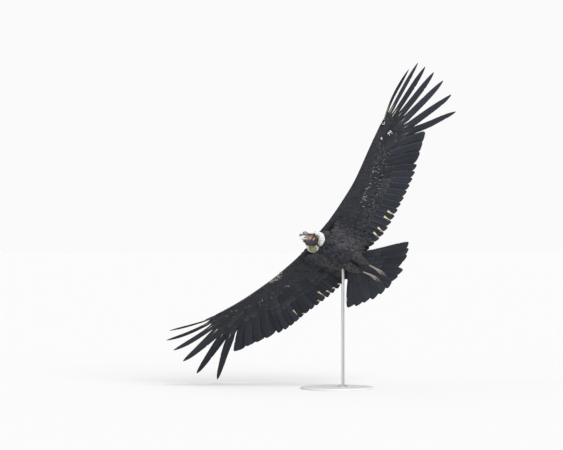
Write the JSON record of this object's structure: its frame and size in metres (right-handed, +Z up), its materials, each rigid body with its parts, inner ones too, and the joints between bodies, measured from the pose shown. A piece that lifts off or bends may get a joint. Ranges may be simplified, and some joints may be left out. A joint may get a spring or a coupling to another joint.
{
  "type": "andean condor",
  "caption": "Life-size Andean condor in a banked glide with spread wing fingers, fanned tail and white ruff, held up by a rod on a round flat base.",
  "frame": {"origin": "middle of the underside of the stand's round base", "axes": "+Z up; the picture is seen along +Y with +X to the right, so the bird's nose points towards -X and -Y"},
  "size_m": [2.1763, 1.0647, 2.4019],
  "materials": {
    "belly_feathers": "soft brown-grey body feathers",
    "dark_feathers": "slate-black flight feathers with a faint sheen",
    "ruff_down": "white down",
    "bare_skin": "wrinkled bare skin",
    "comb_flesh": "pebbled grey flesh",
    "ivory_horn": "satin ivory horn",
    "eye": "wet dark brown",
    "foot_scales": "pale grey scales",
    "stand_paint": "satin pale grey paint",
    "stand_steel": "satin brushed steel"
  },
  "bodies": {
    "root": {"torso": "belly_feathers", "wing_left": "dark_feathers", "wing_right": "dark_feathers", "tail": "dark_feathers", "neck": "bare_skin", "ruff": "ruff_down", "head": "bare_skin", "comb": "comb_flesh", "bill_upper": "ivory_horn", "bill_lower": "ivory_horn", "eye_left": "eye", "eye_right": "eye", "leg_left": "belly_feathers", "leg_right": "belly_feathers", "foot_left": "foot_scales", "foot_right": "foot_scales", "stand_base": "stand_paint", "stand_collar": "stand_steel", "stand_rod": "stand_steel"}
  },
  "joints": []
}
